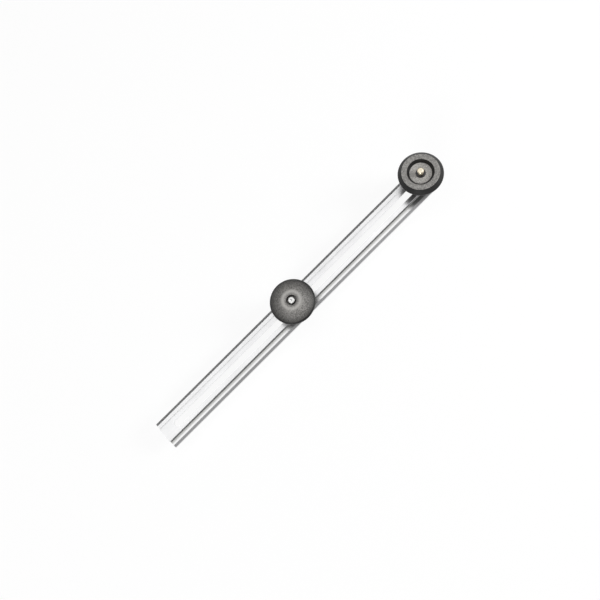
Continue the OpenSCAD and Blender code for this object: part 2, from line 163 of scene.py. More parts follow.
def ramp(tree, value, low, high, start=0.0, end=1.0, **settings):
    """Runs from start to end as a value goes from low to high, and stays there beyond them."""
    made = node(tree, "ShaderNodeMapRange", settings=settings, Value=value,
                From_Min=low, From_Max=high, To_Min=start, To_Max=end)
    return made.outputs["Result"]


print("node helpers:", [helper.__name__ for helper in (feed, node, math_node, parts_of, ramp)])

# %% [markdown]
# ## Room
# A picture of a real room could light the scene, but metal would then show its windows. A plain world is
# enough: a grey ceiling that darkens towards the horizon, so that leaning edges of the rail find something
# dark to mirror.

# %% Grey the room
HORIZON, CEILING = 0.03, 0.33
DARK_BELOW, GREY_ABOVE = 0.62, 0.92
WHITE = (1, 1, 1, 1)


def grey_room():
    """A world whose strength rises from the horizon to the ceiling."""
    room = bpy.data.worlds.new("grey_room")
    room.use_nodes = True
    tree = room.node_tree
    upward = parts_of(tree, node(tree, "ShaderNodeTexCoord").outputs["Generated"])["Z"]
    strength = ramp(tree, upward, DARK_BELOW, GREY_ABOVE, HORIZON, CEILING)
    feed(tree, tree.nodes["Background"].inputs["Strength"], strength)
    feed(tree, tree.nodes["Background"].inputs["Color"], WHITE)
    return room


bpy.context.scene.world = grey_room()
print("room from", HORIZON, "at the horizon to", CEILING, "overhead")

# %% [markdown]
# ## Paper floor
# The tool lies on white paper that runs up into a wall, so that no edge shows behind it. More light would
# whiten the paper but also the tool, so the paper lifts itself: seen directly or in metal it glows towards
# white and keeps the tool's shadow, and for all other light it is plain grey paper.

# %% Mix the paper
PAPER_TONE, SEEN_TONE, SEEN_GLOW = 0.45, 0.16, 0.885


def paper_floor_material():
    """White paper: it takes the tool's shadow, and seen directly or in metal it is lifted towards white."""
    paper = bpy.data.materials.new("paper_floor")
    paper.use_nodes = True
    tree = paper.node_tree
    tree.nodes.clear()
    path = node(tree, "ShaderNodeLightPath").outputs
    seen = math_node(tree, "MAXIMUM", path["Is Camera Ray"], path["Is Glossy Ray"])
    seen = math_node(tree, "MAXIMUM", seen, path["Is Transmission Ray"])
    plain = node(tree, "ShaderNodeBsdfDiffuse", Color=(PAPER_TONE, PAPER_TONE, PAPER_TONE, 1))
    faint = node(tree, "ShaderNodeBsdfDiffuse", Color=(SEEN_TONE, SEEN_TONE, SEEN_TONE, 1))
    glow = node(tree, "ShaderNodeEmission", Color=WHITE, Strength=SEEN_GLOW)
    lifted = node(tree, "ShaderNodeAddShader", faint.outputs[0], glow.outputs[0])
    mix = node(tree, "ShaderNodeMixShader", seen, plain.outputs[0], lifted.outputs[0])
    node(tree, "ShaderNodeOutputMaterial", Surface=mix.outputs[0])
    return paper


paper = paper_floor_material()
print(paper.name, "glows by", SEEN_GLOW, "where it is seen")

# %% Lay the paper
SWEEP_RADIUS, SWEEP_CURVE, SWEEP_HEIGHT, SWEEP_STEPS = 4.0, 0.3, 1.75, 96
FLOOR_GAP, FLOOR_WELD = 0.0001, 1e-6


def mesh_object(name, bm, material):
    """Turns a bmesh into a linked object with one material."""
    mesh = bpy.data.meshes.new(name)
    bm.to_mesh(mesh)
    bm.free()
    mesh.materials.append(material)
    return add_object(name, mesh)


def arc(centre, radius, start, end, steps=8):
    """Points of an arc from one angle in degrees to another, both included."""
    turn = [math.radians(start + (end - start) * step / steps) for step in range(steps + 1)]
    return [(centre[0] + radius * math.cos(a), centre[1] + radius * math.sin(a)) for a in turn]


def paper_sweep():
    """A round floor that curves up into a wall."""
    bm = bmesh.new()
    start = SWEEP_RADIUS - SWEEP_CURVE
    profile = ([(0, -FLOOR_GAP), (start / 2, -FLOOR_GAP)]
               + arc((start, SWEEP_CURVE - FLOOR_GAP), SWEEP_CURVE, -90, 0, 12)
               + [(SWEEP_RADIUS, SWEEP_HEIGHT)])
    line = [bm.verts.new((x, 0, z)) for x, z in profile]
    edges = [bm.edges.new(pair) for pair in zip(line, line[1:])]
    bmesh.ops.spin(bm, geom=line + edges, axis=(0, 0, 1), cent=(0, 0, 0), steps=SWEEP_STEPS,
                   angle=2 * math.pi)
    bmesh.ops.remove_doubles(bm, verts=bm.verts, dist=FLOOR_WELD)
    bmesh.ops.recalc_face_normals(bm, faces=bm.faces)
    return mesh_object("paper_sweep", bm, paper)


sweep = paper_sweep()
sweep.data.shade_smooth()
print("paper sweep of", len(sweep.data.polygons), "faces")

# %% [markdown]
# ## Shared effects
# Several finishes share the same small effects. Each could be painted as a picture, but a node group needs
# none and fits any piece: it is built once with its own inputs, so that a material only sets how coarse or
# how strong it is. Their patterns read a point's place on its own piece, so they stay with it as it moves.

# %% Start an effect
SOCKET_KIND = {float: "NodeSocketFloat", int: "NodeSocketInt", tuple: "NodeSocketVector"}


def add_inputs(tree, defaults):
    """Gives a group a named input for each default, of the default's own kind."""
    for name, default in defaults.items():
        made = tree.interface.new_socket(name, in_out="INPUT", socket_type=SOCKET_KIND[type(default)])
        made.default_value = default


def group_ends(tree):
    """The sockets through which values come into a group, and those through which they leave it."""
    return tree.nodes.new("NodeGroupInput").outputs, tree.nodes.new("NodeGroupOutput").inputs


def effect(name, results, **defaults):
    """An empty shader group with named results and inputs; returns its tree and both its ends."""
    tree = bpy.data.node_groups.new(name, "ShaderNodeTree")
    add_inputs(tree, defaults)
    for result in results:
        tree.interface.new_socket(result, in_out="OUTPUT", socket_type="NodeSocketFloat")
    return tree, *group_ends(tree)


def piece_place(tree):
    """A point's place on its piece."""
    return node(tree, "ShaderNodeTexCoord").outputs["Object"]


def noise(tree, **inputs):
    """The value of a noise texture."""
    return node(tree, "ShaderNodeTexNoise", **inputs).outputs["Fac"]


def vector_node(tree, operation, *values):
    """A Vector Math node."""
    return node(tree, "ShaderNodeVectorMath", *values, settings={"operation": operation})


print("inputs of an effect can be", [kind.__name__ for kind in SOCKET_KIND])

# %% [markdown]
# ### Grain, lines and rings
# A moulded skin has tiny pits and a slower mottle. A die leaves straight lines along a drawn bar, which are
# noise pulled out along one axis. A lathe leaves rings, which are noise that depends only on the distance
# from a point.

# %% Build the effects of moulding, drawing and turning
def moulded_grain_effect():
    """The skin of a moulded knob: tiny pits, and a slower mottle where the skin set unevenly."""
    tree, given, out = effect("moulded_grain", ("Height", "Speckle"), Fine=3200.0, Mottle=800.0, Contrast=1.5)
    place = piece_place(tree)
    fine = noise(tree, Vector=place, Scale=given["Fine"], Detail=2.0, Roughness=0.6)
    mottle = noise(tree, Vector=place, Scale=given["Mottle"], Detail=4.0, Roughness=0.65)
    both = math_node(tree, "SUBTRACT", math_node(tree, "ADD", fine, mottle), 1.0)
    swing = math_node(tree, "MULTIPLY", both, given["Contrast"])
    feed(tree, out["Height"], fine)
    feed(tree, out["Speckle"], math_node(tree, "ADD", swing, 0.5, clamp=True))
    return tree


def drawn_lines_effect():
    """Straight lines that a die leaves on drawn metal, stronger in some places than in others."""
    tree, given, out = effect("drawn_lines", ("Height", "Tone"), Spacing=(6.0, 1800.0, 1800.0), Wander=18.0)
    place = piece_place(tree)
    pulled = vector_node(tree, "MULTIPLY", place, given["Spacing"]).outputs["Vector"]
    lines = noise(tree, Vector=pulled, Scale=1.0, Detail=3.0, Roughness=0.55)
    drift = noise(tree, Vector=place, Scale=given["Wander"], Detail=2.0)
    feed(tree, out["Height"], lines)
    feed(tree, out["Tone"], math_node(tree, "MULTIPLY", math_node(tree, "MULTIPLY", lines, drift), 2.0))
    return tree


def turned_rings_effect():
    """Fine rings that a lathe leaves on flat ends and round sides, about a centre on the piece's axis."""
    tree, given, out = effect("turned_rings", ("Height", "Tone"), Centre=(0.0, 0.0, 0.0), Rings=1500.0)
    offset = vector_node(tree, "SUBTRACT", piece_place(tree), given["Centre"]).outputs["Vector"]
    away = vector_node(tree, "LENGTH", offset).outputs["Value"]
    count = math_node(tree, "MULTIPLY", away, given["Rings"])
    rings = noise(tree, settings={"noise_dimensions": "1D"}, W=count, Scale=1.0, Detail=2.0)
    feed(tree, out["Height"], rings)
    feed(tree, out["Tone"], rings)
    return tree


moulded_grain, drawn_lines, turned_rings = moulded_grain_effect(), drawn_lines_effect(), turned_rings_effect()
print("effects of making:", [group.name for group in (moulded_grain, drawn_lines, turned_rings)])

# %% [markdown]
# ### Wear and painted sheen
# Use leaves bright edges and cloudy marks, and tops are paled by dust and by a painted sheen of the overhead
# light. An edge is found where the surface normal departs from that of a rounded surface, a top by how far
# its normal points up, and the marks are slow noise.

# %% Build the effects of use and the painted sheen
def rubbed_edges_effect():
    """Where an edge is rubbed, in patches."""
    tree, given, out = effect("rubbed_edges", ("Mask",), Reach=0.0005)
    rounded = node(tree, "ShaderNodeBevel", settings={"samples": 4}, Radius=given["Reach"]).outputs["Normal"]
    surface = node(tree, "ShaderNodeNewGeometry").outputs["Normal"]
    agree = vector_node(tree, "DOT_PRODUCT", rounded, surface).outputs["Value"]
    patchy = noise(tree, Vector=piece_place(tree), Scale=260.0, Detail=4.0)
    edge = math_node(tree, "MULTIPLY", math_node(tree, "SUBTRACT", 1.0, agree), 5.0, clamp=True)
    feed(tree, out["Mask"], math_node(tree, "MULTIPLY", edge, patchy))
    return tree


def dust_and_painted_sheen_tops_effect():
    """Tops paled by dust and palms and by a painted sheen of the overhead light; steep sides stay black."""
    tree, given, out = effect("dust_and_painted_sheen_tops", ("Mask",), Steep=0.825, Level=1.0)
    # the mask is a painted sheen of the light from above, as well as dust
    upward = parts_of(tree, node(tree, "ShaderNodeNewGeometry").outputs["Normal"])["Z"]
    feed(tree, out["Mask"], ramp(tree, upward, given["Steep"], given["Level"]))
    return tree


def handling_marks_effect():
    """Slow, cloudy changes of gloss that fingers and dust leave."""
    tree, given, out = effect("handling_marks", ("Mask",), Size=90.0)
    cloud = noise(tree, Vector=piece_place(tree), Scale=given["Size"],
                  Detail=5.0, Roughness=0.6, Distortion=0.8)
    feed(tree, out["Mask"], cloud)
    return tree


rubbed_edges, dust_and_painted_sheen_tops, handling_marks = rubbed_edges_effect(), dust_and_painted_sheen_tops_effect(), handling_marks_effect()
print("effects of use:", [group.name for group in (rubbed_edges, dust_and_painted_sheen_tops, handling_marks)])

# %% [markdown]
# ## Finishes
# Each finish is one Principled shader fed by the shared effects, with its plain numbers on the shader's own
# sockets. What all finishes do the same way is written once: a colour between two tones, a rub towards
# another tone, a gloss between two roughnesses and a fine relief.

# %% Start a finish
EVEN_SPECULAR, FINISH_IOR = 0.5, 1.5
finishes = {}


def blank_finish(name, metallic, specular=EVEN_SPECULAR):
    """A listed material with one Principled shader; returns its tree and the shader."""
    finish = bpy.data.materials.new(name)
    finish.use_nodes = True
    shader = finish.node_tree.nodes["Principled BSDF"]
    for socket, value in (("Metallic", metallic), ("Specular IOR Level", specular), ("IOR", FINISH_IOR)):
        shader.inputs[socket].default_value = value
    finishes[name] = finish
    return finish.node_tree, shader


def use_effect(tree, group, **values):
    """Places a shared effect in a material; returns its results."""
    return node(tree, "ShaderNodeGroup", settings={"node_tree": group}, **values).outputs


print("a finish mirrors like an index of", FINISH_IOR)

# %% Colour, gloss and relief
def rub(tree, shader, base, mask, tone):
    """Lets a mask pull the base colour towards a tone; returns the new colour."""
    mix = node(tree, "ShaderNodeMix", settings={"data_type": "RGBA"}, Factor=mask, A=base, B=(*tone, 1))
    feed(tree, shader.inputs["Base Color"], mix.outputs["Result"])
    return mix.outputs["Result"]


def tint(tree, shader, factor, tones, low=0.0, high=1.0):
    """Base colour from the dark to the light of two tones as a factor goes from low to high."""
    dark, light = tones
    return rub(tree, shader, (*dark, 1), ramp(tree, factor, low, high), light)


def gloss(tree, shader, factor, roughness):
    """Roughness from the smooth to the rough of two values as a factor goes from 0 to 1."""
    feed(tree, shader.inputs["Roughness"], ramp(tree, factor, 0.0, 1.0, *roughness))


def relief(tree, shader, height, depth_mm, strength):
    """A bump of a given depth."""
    bump = node(tree, "ShaderNodeBump", Strength=strength, Distance=depth_mm * MM, Height=height)
    feed(tree, shader.inputs["Normal"], bump.outputs["Normal"])


def distance(tree, first, second):
    """How far a point lies from an axis, by its two offsets from it."""
    squares = [math_node(tree, "POWER", offset, 2.0) for offset in (first, second)]
    return math_node(tree, "SQRT", math_node(tree, "ADD", *squares))


print("finish helpers:", [helper.__name__ for helper in (rub, tint, gloss, relief, distance)])

# %% [markdown]
# ### Drawn aluminium
# The rail is a drawn bar, bright along its lines and rubbed on its edges. A painted shade lies in the corner
# at the foot of its front riser, where the riser shades the flange. That line could be a shape, but it has no
# thickness, so it is a mask that fades with the distance from the corner.

# %% Mix the rail's aluminium
RAIL_TONES = (0.71, 0.71, 0.715), (0.84, 0.84, 0.845)
RAIL_RUBBED, RAIL_GLOSS = (0.92, 0.92, 0.92), (0.25, 0.34)
# The painted shade in the front corner: its place, how far it fades, and its tone.
CORNER_Y_MM, CORNER_DROP_MM, SHADE_FADE_MM = -8.7, 2.5, 2.2
PAINTED_SHADE_TONE = (0.44, 0.44, 0.43)


def corner_painted_shade(tree):
    """A mask of the painted shade at the foot of the front riser."""
    parts = parts_of(tree, piece_place(tree))
    across = math_node(tree, "SUBTRACT", parts["Y"], CORNER_Y_MM * MM)
    above = math_node(tree, "SUBTRACT", parts["Z"], rail_top - CORNER_DROP_MM * MM)
    away = distance(tree, across, above)
    return ramp(tree, away, 0.0, SHADE_FADE_MM * MM, 1.0, 0.0, interpolation_type="SMOOTHSTEP")


def rail_aluminium_finish():
    """Drawn lines, bright edges and the painted shade in the front corner."""
    tree, shader = blank_finish("rail_aluminium", 1.0)
    lines = use_effect(tree, drawn_lines)
    marks = use_effect(tree, handling_marks, Size=60.0)
    edges = use_effect(tree, rubbed_edges, Reach=0.0003)
    base = tint(tree, shader, lines["Tone"], RAIL_TONES)
    bright = rub(tree, shader, base, edges["Mask"], RAIL_RUBBED)
    # painted shade in the corner at the foot of the front riser
    rub(tree, shader, bright, corner_painted_shade(tree), PAINTED_SHADE_TONE)
    gloss(tree, shader, marks["Mask"], RAIL_GLOSS)
    relief(tree, shader, lines["Height"], depth_mm=0.001, strength=0.4)


rail_aluminium_finish()
print("finishes:", list(finishes))

# %% [markdown]
# ### Moulded black plastic
# The knobs and the foot are black plastic with a fine grain. What looks up is paled by dust and by a painted
# sheen of the overhead light. Three places are paler still: a painted highlight on the crest of the dome, a
# painted sheen on its near side, and painted light on the floor of the dish, which lifts it out of the dish's
# shade. One material serves all of it, because each place is a simple rule of height or distance.

# %% Mix the knobs' plastic
KNOB_TONES = (0.0122, 0.012, 0.0118), (0.62, 0.602, 0.574)
KNOB_PALEST, KNOB_SPECULAR, KNOB_GLOSS = 0.9, 0.35, (0.40, 0.58)
# Depth of the painted highlight on the dome's crest.
CREST_HIGHLIGHT_MM = 0.65
# Reach and lift of the painted light on the dish floor, against the shade of its walls.
DISH_LIGHT_MM, DISH_LIGHT_LIFT = 9.6, 0.6
# Reach and lift of the painted sheen on the dome's near side.
SHEEN_REACH_MM, SHEEN_LIFT = 20.0, 0.57


def painted_light_places(tree, parts):
    """How much painted light lifts the dish's floor and the dome's near side; 1 elsewhere."""
    from_cutter = distance(tree, math_node(tree, "SUBTRACT", parts["X"], cutter_x), parts["Y"])
    in_dish = math_node(tree, "LESS_THAN", from_cutter, DISH_LIGHT_MM * MM)
    # painted light that lifts the dish floor out of the shade of its walls
    dust = math_node(tree, "MULTIPLY", in_dish, DISH_LIGHT_LIFT)
    on_dome = math_node(tree, "LESS_THAN", parts["X"], (pivot_x + cutter_x) / 2)
    # painted sheen on the near side of the dome
    near_side = ramp(tree, parts["Y"], 0.0, -SHEEN_REACH_MM * MM, 0.0, SHEEN_LIFT)
    near_side_sheen = math_node(tree, "MULTIPLY", on_dome, near_side)
    return math_node(tree, "ADD", math_node(tree, "ADD", dust, near_side_sheen), 1.0)


def knob_plastic_finish():
    """Grained black, paled on top by dust and painted sheen, and at the crest, dish and near side by painted
    light.
    """
    tree, shader = blank_finish("knob_plastic", 0.0, KNOB_SPECULAR)
    grain = use_effect(tree, moulded_grain)
    marks = use_effect(tree, handling_marks, Size=110.0)
    tops = use_effect(tree, dust_and_painted_sheen_tops)
    parts = parts_of(tree, piece_place(tree))
    # tops carry dust and a painted sheen of the overhead light
    skin = math_node(tree, "MULTIPLY", tops["Mask"], grain["Speckle"])
    tone = math_node(tree, "MULTIPLY", skin, painted_light_places(tree, parts))
    base = tint(tree, shader, tone, KNOB_TONES, high=KNOB_PALEST)
    crest_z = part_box("clamp_knob")[1].z
    # painted highlight on the dome's crest
    crest = ramp(tree, parts["Z"], crest_z - CREST_HIGHLIGHT_MM * MM, crest_z)
    rub(tree, shader, base, crest, KNOB_TONES[1])
    gloss(tree, shader, marks["Mask"], KNOB_GLOSS)
    relief(tree, shader, grain["Height"], depth_mm=0.03, strength=0.6)


knob_plastic_finish()
print("finishes:", list(finishes))

# %% [markdown]
# ### Turned metals
# The pin in the dish is brass, the bushes are bronze, and the stud, washers and wheel are plated or ground
# steel. All came off a lathe, so they differ only in their two tones, the centre of their rings and their
# roughness, and one loop over a table makes them.

# %% Mix the turned metals
WHEEL_R = 6.0
pivot_axis, cutter_axis = (pivot_x, 0.0, 0.0), (cutter_x, 0.0, 0.0)
wheel_centre = (cutter_x, 0.0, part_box("cutter_wheel")[0].z + WHEEL_R * MM)
TURNED_METALS = {
    "post_brass": (((0.54, 0.455, 0.32), (0.80, 0.735, 0.60)), cutter_axis, (0.16, 0.32)),
    "bush_bronze": (((0.42, 0.25, 0.13), (0.58, 0.38, 0.22)), pivot_axis, (0.3, 0.45)),
    "plated_steel": (((0.52, 0.52, 0.51), (0.74, 0.74, 0.73)), pivot_axis, (0.15, 0.3)),
    "wheel_steel": (((0.5, 0.51, 0.53), (0.74, 0.75, 0.77)), wheel_centre, (0.14, 0.28)),
}


def turned_metal_finish(name, tones, centre, roughness):
    """Brass, bronze or steel off a lathe, with fine rings and rubbed edges."""
    tree, shader = blank_finish(name, 1.0)
    rings = use_effect(tree, turned_rings, Centre=centre)
    marks = use_effect(tree, handling_marks, Size=400.0)
    edges = use_effect(tree, rubbed_edges, Reach=0.0002)
    base = tint(tree, shader, rings["Tone"], tones, low=0.25, high=0.75)
    rub(tree, shader, base, edges["Mask"], tones[1])
    gloss(tree, shader, marks["Mask"], roughness)
    relief(tree, shader, rings["Height"], depth_mm=0.006, strength=0.5)


for name, (tones, centre, roughness) in TURNED_METALS.items():
    turned_metal_finish(name, tones, centre, roughness)
print("finishes:", list(finishes))

# %% [markdown]
# ### Spring steel, acetal and rubber
# The clips are punched from blackened strip, which keeps the lines of the rolling mill and is rubbed on its
# edges. The shoes and a bush are acetal and the pad is rubber: soft, even skins that need only a little
# mottle.

# %% Mix the strip and the soft skins
STRIP_TONES = (0.05, 0.05, 0.055), (0.13, 0.13, 0.14)
STRIP_RUBBED, STRIP_GLOSS = (0.35, 0.35, 0.36), (0.3, 0.45)
SKINS = {
    "acetal": (((0.022, 0.022, 0.023), (0.05, 0.05, 0.05)), 0.42, 2400.0),
    "pad_rubber": (((0.02, 0.02, 0.02), (0.05, 0.05, 0.05)), 0.75, 2800.0),
}
# The least top paling, from dust and painted sheen, that a soft skin keeps on its sides.
SKIN_GLOSS_SWING, LEAST_DUST_AND_SHEEN = 0.08, 0.6


def spring_steel_finish():
    """Blackened spring steel: the lines of the rolled strip, and edges rubbed by the punch."""
    tree, shader = blank_finish("spring_steel", 1.0)
    lines = use_effect(tree, drawn_lines, Spacing=(200.0, 3600.0, 3600.0))
    marks = use_effect(tree, handling_marks, Size=400.0)
    edges = use_effect(tree, rubbed_edges, Reach=0.0001)
    base = tint(tree, shader, lines["Tone"], STRIP_TONES)
    rub(tree, shader, base, edges["Mask"], STRIP_RUBBED)
    gloss(tree, shader, marks["Mask"], STRIP_GLOSS)


def soft_skin_finish(name, tones, rough, fine):
    """Acetal or rubber: a soft even skin with a little mottle, paler on top by dust and painted sheen."""
    tree, shader = blank_finish(name, 0.0)
    grain = use_effect(tree, moulded_grain, Fine=fine, Mottle=fine / 4)
    tops = use_effect(tree, dust_and_painted_sheen_tops)
    # dust and a painted sheen on top
    dust_and_sheen = math_node(tree, "MAXIMUM", tops["Mask"], LEAST_DUST_AND_SHEEN)
    tone = math_node(tree, "MULTIPLY", grain["Speckle"], dust_and_sheen)
    tint(tree, shader, tone, tones, low=0.2, high=0.7)
    gloss(tree, shader, grain["Speckle"], (rough - SKIN_GLOSS_SWING, rough + SKIN_GLOSS_SWING))
    relief(tree, shader, grain["Height"], depth_mm=0.02, strength=0.5)


spring_steel_finish()
for name, (tones, rough, fine) in SKINS.items():
    soft_skin_finish(name, tones, rough, fine)
print("finishes:", list(finishes))

# %% [markdown]
# ## Solids
# Every piece of the tool is a solid with a slot for its finish and a body that it moves with. Some stay
# hidden inside others and need no dressing, so first all solids get their finish, and then pieces take the
# place of those that show.

# %% Give each solid its finish
slot_of = {part["node"]: part["material_slot"] for part in frame["record"]["subparts"]}
body_of = {part: body for body, parts in frame["record"]["behaviour"]["bodies"].items() for part in parts}


def finish_of(part):
    """The finish of a solid."""
    return finishes[slot_of[part]]


def heights(part):
    """Lower and upper height of a solid, in millimetres."""
    low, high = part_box(part)
    return low.z / MM, high.z / MM


def stands_for(piece, part):
    """The piece moves with the body of a solid and hides that solid, whose place it takes."""
    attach(piece, body_of[part])
    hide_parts(part)
    low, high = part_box(part)
    print(f"{piece.name} stands for {part}: {len(piece.data.polygons)} faces,"
          f" node {tuple(round(v / MM, 1) for v in high - low)} mm")


for part, solid in frame["nodes"].items():
    solid.data.materials.clear()
    solid.data.materials.append(finish_of(part))

# %% [markdown]
# ## Turning
# Most pieces are turned, so one helper sweeps an outline about an axis. Outlines are written in millimetres
# as radius and height. A corner that a tool has broken is rounded by a second helper, so that an outline
# stays a short list.

# %% Round the corners of an outline
def broken_corners(corners, steps=3):
    """A closed outline from (x, y, radius) corners, each rounded by its own radius."""
    points = []
    for i, (x, y, radius) in enumerate(corners):
        if radius == 0:
            points.append((x, y))
            continue
        here = Vector((x, y))
        before = (Vector(corners[i - 1][:2]) - here).normalized()
        after = (Vector(corners[(i + 1) % len(corners)][:2]) - here).normalized()
        half = before.angle(after) / 2
        reach = radius / math.tan(half)
        centre = here + (before + after).normalized() * radius / math.sin(half)
        first, last = here + before * reach - centre, here + after * reach - centre
        turn = first.angle_signed(last)
        for step in range(steps + 1):
            spoke = first.copy()
            spoke.rotate(Matrix.Rotation(-turn * step / steps, 2))
            points.append(tuple(centre + spoke))
    return points


print("a broken corner has", len(broken_corners([(0, 0, 0), (1, 0, 0.1), (1, 1, 0)])) - 2, "points")

# %% Turn an outline
SHARP_ANGLE = math.radians(18)
WELD, SLIVER = 1e-7, 1e-8
UPRIGHT = Matrix.Identity(3)
ALONG_RAIL = Matrix.Rotation(math.radians(90), 3, "Y")
ACROSS_RAIL = Matrix.Rotation(math.radians(-90), 3, "X")


def smooth_piece(piece, sharp=SHARP_ANGLE):
    """Smooth shading, with corners of more than an angle kept sharp."""
    piece.data.shade_smooth()
    piece.data.set_sharp_from_angle(angle=sharp)


def turned_piece(name, outline, centre, material, axis=UPRIGHT, segments=128):
    """Sweeps a closed outline about an axis through centre, with heights counted from there."""
    bm = bmesh.new()
    centre = Vector(centre)
    rings = []
    for step in range(segments):
        angle = 2 * math.pi * step / segments
        rings.append([bm.verts.new(centre + axis @ Vector((r * math.cos(angle), r * math.sin(angle), z)) * MM)
                      for r, z in outline])
    count = len(outline)
    for here, there in zip(rings, rings[1:] + rings[:1]):
        for i in range(count):
            j = (i + 1) % count
            if outline[i][0] > 0 or outline[j][0] > 0:
                bm.faces.new((here[i], there[i], there[j], here[j]))
    bmesh.ops.remove_doubles(bm, verts=bm.verts, dist=WELD)
    bmesh.ops.dissolve_degenerate(bm, edges=bm.edges, dist=SLIVER)
    bmesh.ops.recalc_face_normals(bm, faces=bm.faces)
    piece = mesh_object(name, bm, material)
    smooth_piece(piece)
    return piece


print("corners of more than", round(math.degrees(SHARP_ANGLE)), "degrees stay sharp")

# %% [markdown]
# ## Cutting and joining
# The other pieces are sawn, drilled and joined as in a workshop. Vertices could be placed by hand, but
# solids that cut each other keep every hole true to its drill, and a bevel then breaks the edges as a file
# does.

# %% Raise and combine solids
def settle(piece):
    """Bakes a piece's modifiers into its mesh."""
    shape = piece.evaluated_get(bpy.context.evaluated_depsgraph_get())
    mesh = bpy.data.meshes.new_from_object(shape)
    piece.modifiers.clear()
    piece.data = mesh


def prism(name, outline, base, height, material, axis=UPRIGHT):
    """A block of a flat outline, raised along an axis from base; lengths in millimetres but for base."""
    bm = bmesh.new()
    base = Vector(base)
    bottom = bm.faces.new([bm.verts.new(base + axis @ Vector((x, y, 0)) * MM) for x, y in outline])
    grown = bmesh.ops.extrude_face_region(bm, geom=[bottom])
    raised = [v for v in grown["geom"] if isinstance(v, bmesh.types.BMVert)]
    bmesh.ops.translate(bm, verts=raised, vec=axis @ Vector((0, 0, height)) * MM)
    bmesh.ops.recalc_face_normals(bm, faces=bm.faces)
    return mesh_object(name, bm, material)


def combine(piece, other, operation="DIFFERENCE"):
    """Cuts a piece with another, or joins the two; the other is used up."""
    change = piece.modifiers.new("combine", "BOOLEAN")
    change.operation = operation
    change.solver = "EXACT"
    change.object = other
    settle(piece)
    bpy.data.objects.remove(other)


print("solid helpers:", [helper.__name__ for helper in (settle, prism, combine)])

# %% Drill and file
DRILL_REACH, FILED_ANGLE = 30.0, 50


def bore(piece, radius, centre, axis=UPRIGHT, start=-DRILL_REACH, end=DRILL_REACH):
    """Drills a round hole along an axis through centre, from start to end in millimetres."""
    drill = [(0, start), (radius, start), (radius, end), (0, end)]
    combine(piece, turned_piece("drill", drill, centre, piece.data.materials[0], axis, segments=64))


def break_edges(piece, width_mm):
    """Rounds every sharp edge, as a file or a tumbler does."""
    filed = piece.modifiers.new("filed", "BEVEL")
    filed.width = width_mm * MM
    filed.segments = 2
    filed.limit_method = "ANGLE"
    filed.angle_limit = math.radians(FILED_ANGLE)
    settle(piece)
    smooth_piece(piece)


print("edges sharper than", FILED_ANGLE, "degrees are filed")

# %% [markdown]
# ## Rail
# The rail is a hat section: a raised middle with the slot, and a lower flange with a sloped edge on each
# side. It could be a box with loops cut in, but an extrusion is truer: one outline with its die radii is
# swept along X, the slot and the post's hole are cut out, and a fine bevel breaks the sawn edges.

# %% Draw the rail
RAIL_W, FLANGE_T, EDGE_SLOPE_W, EDGE_SLOPE_H = 28.2, 3.0, 2.4, 0.7
PLATEAU_W, PLATEAU_RISE, PLATEAU_ROUND, RISER_LEAN, FOOT_RADIUS = 14.6, 2.5, 0.2, 0.7, 0.4
CHANNEL_W, WEB_T = 10.0, 1.5
SECTION = Matrix(((0, 0, 1), (1, 0, 0), (0, 1, 0)))


def rail_outline():
    """The hat section, from the channel round the +Y side; the -Y side is its mirror."""
    top = FLANGE_T + PLATEAU_RISE
    half = [(CHANNEL_W / 2, top - WEB_T, 0), (CHANNEL_W / 2, 0, 0), (RAIL_W / 2, 0, 0),
            (RAIL_W / 2, FLANGE_T - EDGE_SLOPE_H, 0), (RAIL_W / 2 - EDGE_SLOPE_W, FLANGE_T, 0),
            (PLATEAU_W / 2 + RISER_LEAN, FLANGE_T, FOOT_RADIUS), (PLATEAU_W / 2, top, PLATEAU_ROUND)]
    return broken_corners(half + [(-y, z, radius) for y, z, radius in reversed(half)], steps=8)


rail = prism("drawn_rail", rail_outline(), (rail_low.x, 0, rail_low.z), (rail_high.x - rail_low.x) / MM,
             finish_of("rail"), SECTION)
print("the rail's section has", len(rail_outline()), "points")

# %% Cut the rail's slot, hole and end
SLOT_R, SLOT_MARGIN, SLOT_BRIDGE, POST_HOLE_R = 3.2, 13.0, 11.0, 3.2
END_CORNER, SAWN_EDGE = 2.0, 0.05
CUT_DEPTH, OVERCUT = 20.0, 1.0
RAIL_SHARP_ANGLE = math.radians(12)


def rail_cuts():
    """The slot, the post's hole and the rounded far end, each with the way it cuts."""
    start = rail_low.x / MM + SLOT_MARGIN + SLOT_R
    end = cutter_x / MM - SLOT_BRIDGE - SLOT_R
    near, bend, side = rail_low.x / MM - OVERCUT, rail_high.x / MM - END_CORNER, RAIL_W / 2
    slot = arc((start, 0), SLOT_R, 90, 270, 24) + arc((end, 0), SLOT_R, -90, 90, 24)
    hole = arc((cutter_x / MM, 0), POST_HOLE_R, 0, 350, 35)
    trim = ([(near, side + OVERCUT), (near, -side - OVERCUT), (bend, -side - OVERCUT)]
            + arc((bend, -side + END_CORNER), END_CORNER, -90, 0, 10)
            + arc((bend, side - END_CORNER), END_CORNER, 0, 90, 10)
            + [(bend, side + OVERCUT)])
    return ("slot", slot, "DIFFERENCE"), ("hole", hole, "DIFFERENCE"), ("trim", trim, "INTERSECT")


for name, outline, operation in rail_cuts():
    combine(rail, prism(name, outline, (0, 0, rail_low.z - MM), CUT_DEPTH, finish_of("rail")), operation)
break_edges(rail, SAWN_EDGE)
smooth_piece(rail, RAIL_SHARP_ANGLE)
stands_for(rail, "rail")

# %% [markdown]
# ## Clamp knob
# The knob on the slide is a dome on a flared neck, turned in at its crest to a counterbore round the stud.
# A dome could be a squashed sphere, but its rim would then be a knife edge, so the outline is an arc that
# runs into a second, tighter arc where the rim turns down.

